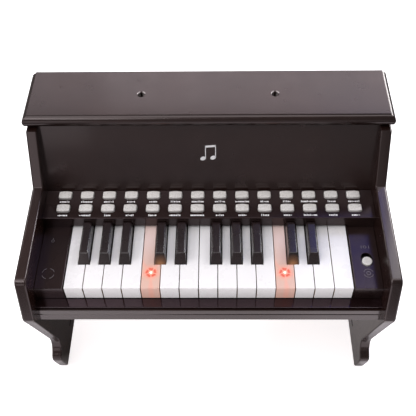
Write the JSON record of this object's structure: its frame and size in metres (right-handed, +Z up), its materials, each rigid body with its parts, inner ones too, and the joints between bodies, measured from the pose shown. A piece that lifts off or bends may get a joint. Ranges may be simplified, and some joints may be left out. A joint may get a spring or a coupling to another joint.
{
  "type": "toy electronic keyboard",
  "caption": "Toy upright piano: lacquered wooden case with swept side panels around an electronic keyboard module with hinged keys, push buttons and a slide switch.",
  "frame": {"origin": "on the floor at the middle of the footprint, under the centre of the overall box", "axes": "+X to the player's right along the keyboard, +Y from the player towards the back, +Z up"},
  "size_m": [0.46, 0.2819, 0.357],
  "materials": {
    "case_lacquer": "satin espresso lacquer with light orange peel",
    "bare_plywood": "sealed birch plywood",
    "gloss_black_plastic": "glossy injection moulded",
    "matte_black_plastic": "fine texture",
    "steel": "ground rod",
    "zinc_screws": "zinc plated",
    "circuit_board": "green solder mask",
    "silicone": "soft translucent grey",
    "speaker_black": "stamped steel basket, paper cone",
    "battery_jacket": "plain jacket, no marks",
    "switch_grey": "ribbed knob",
    "white_key": "polished white",
    "lit_key": "translucent white lit from inside",
    "black_key": "satin black",
    "button_grey": "speckled light grey"
  },
  "bodies": {
    "case": {"left_side_panel": "case_lacquer", "right_side_panel": "case_lacquer", "top_board": "case_lacquer", "upper_front_panel": "case_lacquer", "back_panel": "case_lacquer", "keybed_board": "bare_plywood", "front_rail": "case_lacquer", "keyboard_top_shell": "gloss_black_plastic", "key_slip_plate": "gloss_black_plastic", "key_chassis": "matte_black_plastic", "key_pivot_rod": "steel", "key_contact_board": "circuit_board", "key_contact_strip": "silicone", "button_board": "circuit_board", "button_dome_mat": "silicone", "speaker": "speaker_black", "battery_box": "matte_black_plastic", "battery_door": "matte_black_plastic", "batteries": "battery_jacket", "screws": "zinc_screws"},
    "white_key_01": {"white_key_01": "white_key"},
    "white_key_02": {"white_key_02": "white_key"},
    "white_key_03": {"white_key_03": "white_key"},
    "white_key_04": {"white_key_04": "white_key"},
    "white_key_05": {"white_key_05": "lit_key"},
    "white_key_06": {"white_key_06": "white_key"},
    "white_key_07": {"white_key_07": "white_key"},
    "white_key_08": {"white_key_08": "white_key"},
    "white_key_09": {"white_key_09": "white_key"},
    "white_key_10": {"white_key_10": "white_key"},
    "white_key_11": {"white_key_11": "white_key"},
    "white_key_12": {"white_key_12": "lit_key"},
    "white_key_13": {"white_key_13": "white_key"},
    "white_key_14": {"white_key_14": "white_key"},
    "white_key_15": {"white_key_15": "white_key"},
    "black_key_01": {"black_key_01": "black_key"},
    "black_key_02": {"black_key_02": "black_key"},
    "black_key_03": {"black_key_03": "black_key"},
    "black_key_04": {"black_key_04": "black_key"},
    "black_key_05": {"black_key_05": "black_key"},
    "black_key_06": {"black_key_06": "black_key"},
    "black_key_07": {"black_key_07": "black_key"},
    "black_key_08": {"black_key_08": "black_key"},
    "black_key_09": {"black_key_09": "black_key"},
    "black_key_10": {"black_key_10": "black_key"},
    "button_pair_01": {"button_pair_01": "button_grey"},
    "button_pair_02": {"button_pair_02": "button_grey"},
    "button_pair_03": {"button_pair_03": "button_grey"},
    "button_pair_04": {"button_pair_04": "button_grey"},
    "button_pair_05": {"button_pair_05": "button_grey"},
    "button_pair_06": {"button_pair_06": "button_grey"},
    "button_pair_07": {"button_pair_07": "button_grey"},
    "button_pair_08": {"button_pair_08": "button_grey"},
    "button_pair_09": {"button_pair_09": "button_grey"},
    "button_pair_10": {"button_pair_10": "button_grey"},
    "button_pair_11": {"button_pair_11": "button_grey"},
    "button_pair_12": {"button_pair_12": "button_grey"},
    "button_pair_13": {"button_pair_13": "button_grey"},
    "button_pair_14": {"button_pair_14": "button_grey"},
    "switch": {"switch_knob": "switch_grey"}
  },
  "joints": [
    {"name": "white_key_01_press", "type": "hinge", "parent": "case", "child": "white_key_01", "pos_m": [-0.1645, 0.02, 0.222], "axis": [1, 0, 0], "range_deg": [0, 3], "stiffness_Nm_per_rad": 0.5, "springref_deg": -3.44},
    {"name": "white_key_02_press", "type": "hinge", "parent": "case", "child": "white_key_02", "pos_m": [-0.141, 0.02, 0.222], "axis": [1, 0, 0], "range_deg": [0, 3], "stiffness_Nm_per_rad": 0.5, "springref_deg": -3.44},
    {"name": "white_key_03_press", "type": "hinge", "parent": "case", "child": "white_key_03", "pos_m": [-0.1175, 0.02, 0.222], "axis": [1, 0, 0], "range_deg": [0, 3], "stiffness_Nm_per_rad": 0.5, "springref_deg": -3.44},
    {"name": "white_key_04_press", "type": "hinge", "parent": "case", "child": "white_key_04", "pos_m": [-0.094, 0.02, 0.222], "axis": [1, 0, 0], "range_deg": [0, 3], "stiffness_Nm_per_rad": 0.5, "springref_deg": -3.44},
    {"name": "white_key_05_press", "type": "hinge", "parent": "case", "child": "white_key_05", "pos_m": [-0.0705, 0.02, 0.222], "axis": [1, 0, 0], "range_deg": [0, 3], "stiffness_Nm_per_rad": 0.5, "springref_deg": -3.44},
    {"name": "white_key_06_press", "type": "hinge", "parent": "case", "child": "white_key_06", "pos_m": [-0.047, 0.02, 0.222], "axis": [1, 0, 0], "range_deg": [0, 3], "stiffness_Nm_per_rad": 0.5, "springref_deg": -3.44},
    {"name": "white_key_07_press", "type": "hinge", "parent": "case", "child": "white_key_07", "pos_m": [-0.0235, 0.02, 0.222], "axis": [1, 0, 0], "range_deg": [0, 3], "stiffness_Nm_per_rad": 0.5, "springref_deg": -3.44},
    {"name": "white_key_08_press", "type": "hinge", "parent": "case", "child": "white_key_08", "pos_m": [0, 0.02, 0.222], "axis": [1, 0, 0], "range_deg": [0, 3], "stiffness_Nm_per_rad": 0.5, "springref_deg": -3.44},
    {"name": "white_key_09_press", "type": "hinge", "parent": "case", "child": "white_key_09", "pos_m": [0.0235, 0.02, 0.222], "axis": [1, 0, 0], "range_deg": [0, 3], "stiffness_Nm_per_rad": 0.5, "springref_deg": -3.44},
    {"name": "white_key_10_press", "type": "hinge", "parent": "case", "child": "white_key_10", "pos_m": [0.047, 0.02, 0.222], "axis": [1, 0, 0], "range_deg": [0, 3], "stiffness_Nm_per_rad": 0.5, "springref_deg": -3.44},
    {"name": "white_key_11_press", "type": "hinge", "parent": "case", "child": "white_key_11", "pos_m": [0.0705, 0.02, 0.222], "axis": [1, 0, 0], "range_deg": [0, 3], "stiffness_Nm_per_rad": 0.5, "springref_deg": -3.44},
    {"name": "white_key_12_press", "type": "hinge", "parent": "case", "child": "white_key_12", "pos_m": [0.094, 0.02, 0.222], "axis": [1, 0, 0], "range_deg": [0, 3], "stiffness_Nm_per_rad": 0.5, "springref_deg": -3.44},
    {"name": "white_key_13_press", "type": "hinge", "parent": "case", "child": "white_key_13", "pos_m": [0.1175, 0.02, 0.222], "axis": [1, 0, 0], "range_deg": [0, 3], "stiffness_Nm_per_rad": 0.5, "springref_deg": -3.44},
    {"name": "white_key_14_press", "type": "hinge", "parent": "case", "child": "white_key_14", "pos_m": [0.141, 0.02, 0.222], "axis": [1, 0, 0], "range_deg": [0, 3], "stiffness_Nm_per_rad": 0.5, "springref_deg": -3.44},
    {"name": "white_key_15_press", "type": "hinge", "parent": "case", "child": "white_key_15", "pos_m": [0.1645, 0.02, 0.222], "axis": [1, 0, 0], "range_deg": [0, 3], "stiffness_Nm_per_rad": 0.5, "springref_deg": -3.44},
    {"name": "black_key_01_press", "type": "hinge", "parent": "case", "child": "black_key_01", "pos_m": [-0.15475, 0.02, 0.222], "axis": [1, 0, 0], "range_deg": [0, 3], "stiffness_Nm_per_rad": 0.4, "springref_deg": -3.44},
    {"name": "black_key_02_press", "type": "hinge", "parent": "case", "child": "black_key_02", "pos_m": [-0.12925, 0.02, 0.222], "axis": [1, 0, 0], "range_deg": [0, 3], "stiffness_Nm_per_rad": 0.4, "springref_deg": -3.44},
    {"name": "black_key_03_press", "type": "hinge", "parent": "case", "child": "black_key_03", "pos_m": [-0.10375, 0.02, 0.222], "axis": [1, 0, 0], "range_deg": [0, 3], "stiffness_Nm_per_rad": 0.4, "springref_deg": -3.44},
    {"name": "black_key_04_press", "type": "hinge", "parent": "case", "child": "black_key_04", "pos_m": [-0.05975, 0.02, 0.222], "axis": [1, 0, 0], "range_deg": [0, 3], "stiffness_Nm_per_rad": 0.4, "springref_deg": -3.44},
    {"name": "black_key_05_press", "type": "hinge", "parent": "case", "child": "black_key_05", "pos_m": [-0.03425, 0.02, 0.222], "axis": [1, 0, 0], "range_deg": [0, 3], "stiffness_Nm_per_rad": 0.4, "springref_deg": -3.44},
    {"name": "black_key_06_press", "type": "hinge", "parent": "case", "child": "black_key_06", "pos_m": [0.00975, 0.02, 0.222], "axis": [1, 0, 0], "range_deg": [0, 3], "stiffness_Nm_per_rad": 0.4, "springref_deg": -3.44},
    {"name": "black_key_07_press", "type": "hinge", "parent": "case", "child": "black_key_07", "pos_m": [0.03525, 0.02, 0.222], "axis": [1, 0, 0], "range_deg": [0, 3], "stiffness_Nm_per_rad": 0.4, "springref_deg": -3.44},
    {"name": "black_key_08_press", "type": "hinge", "parent": "case", "child": "black_key_08", "pos_m": [0.06075, 0.02, 0.222], "axis": [1, 0, 0], "range_deg": [0, 3], "stiffness_Nm_per_rad": 0.4, "springref_deg": -3.44},
    {"name": "black_key_09_press", "type": "hinge", "parent": "case", "child": "black_key_09", "pos_m": [0.10475, 0.02, 0.222], "axis": [1, 0, 0], "range_deg": [0, 3], "stiffness_Nm_per_rad": 0.4, "springref_deg": -3.44},
    {"name": "black_key_10_press", "type": "hinge", "parent": "case", "child": "black_key_10", "pos_m": [0.13025, 0.02, 0.222], "axis": [1, 0, 0], "range_deg": [0, 3], "stiffness_Nm_per_rad": 0.4, "springref_deg": -3.44},
    {"name": "button_pair_01_press", "type": "slide", "parent": "case", "child": "button_pair_01", "axis": [0, 0, -1], "range_m": [0, 0.0016], "stiffness_N_per_m": 400, "springref_m": -0.0015},
    {"name": "button_pair_02_press", "type": "slide", "parent": "case", "child": "button_pair_02", "axis": [0, 0, -1], "range_m": [0, 0.0016], "stiffness_N_per_m": 400, "springref_m": -0.0015},
    {"name": "button_pair_03_press", "type": "slide", "parent": "case", "child": "button_pair_03", "axis": [0, 0, -1], "range_m": [0, 0.0016], "stiffness_N_per_m": 400, "springref_m": -0.0015},
    {"name": "button_pair_04_press", "type": "slide", "parent": "case", "child": "button_pair_04", "axis": [0, 0, -1], "range_m": [0, 0.0016], "stiffness_N_per_m": 400, "springref_m": -0.0015},
    {"name": "button_pair_05_press", "type": "slide", "parent": "case", "child": "button_pair_05", "axis": [0, 0, -1], "range_m": [0, 0.0016], "stiffness_N_per_m": 400, "springref_m": -0.0015},
    {"name": "button_pair_06_press", "type": "slide", "parent": "case", "child": "button_pair_06", "axis": [0, 0, -1], "range_m": [0, 0.0016], "stiffness_N_per_m": 400, "springref_m": -0.0015},
    {"name": "button_pair_07_press", "type": "slide", "parent": "case", "child": "button_pair_07", "axis": [0, 0, -1], "range_m": [0, 0.0016], "stiffness_N_per_m": 400, "springref_m": -0.0015},
    {"name": "button_pair_08_press", "type": "slide", "parent": "case", "child": "button_pair_08", "axis": [0, 0, -1], "range_m": [0, 0.0016], "stiffness_N_per_m": 400, "springref_m": -0.0015},
    {"name": "button_pair_09_press", "type": "slide", "parent": "case", "child": "button_pair_09", "axis": [0, 0, -1], "range_m": [0, 0.0016], "stiffness_N_per_m": 400, "springref_m": -0.0015},
    {"name": "button_pair_10_press", "type": "slide", "parent": "case", "child": "button_pair_10", "axis": [0, 0, -1], "range_m": [0, 0.0016], "stiffness_N_per_m": 400, "springref_m": -0.0015},
    {"name": "button_pair_11_press", "type": "slide", "parent": "case", "child": "button_pair_11", "axis": [0, 0, -1], "range_m": [0, 0.0016], "stiffness_N_per_m": 400, "springref_m": -0.0015},
    {"name": "button_pair_12_press", "type": "slide", "parent": "case", "child": "button_pair_12", "axis": [0, 0, -1], "range_m": [0, 0.0016], "stiffness_N_per_m": 400, "springref_m": -0.0015},
    {"name": "button_pair_13_press", "type": "slide", "parent": "case", "child": "button_pair_13", "axis": [0, 0, -1], "range_m": [0, 0.0016], "stiffness_N_per_m": 400, "springref_m": -0.0015},
    {"name": "button_pair_14_press", "type": "slide", "parent": "case", "child": "button_pair_14", "axis": [0, 0, -1], "range_m": [0, 0.0016], "stiffness_N_per_m": 400, "springref_m": -0.0015},
    {"name": "switch_slide", "type": "slide", "parent": "case", "child": "switch", "axis": [0, 1, 0], "range_m": [0, 0.006]}
  ]
}
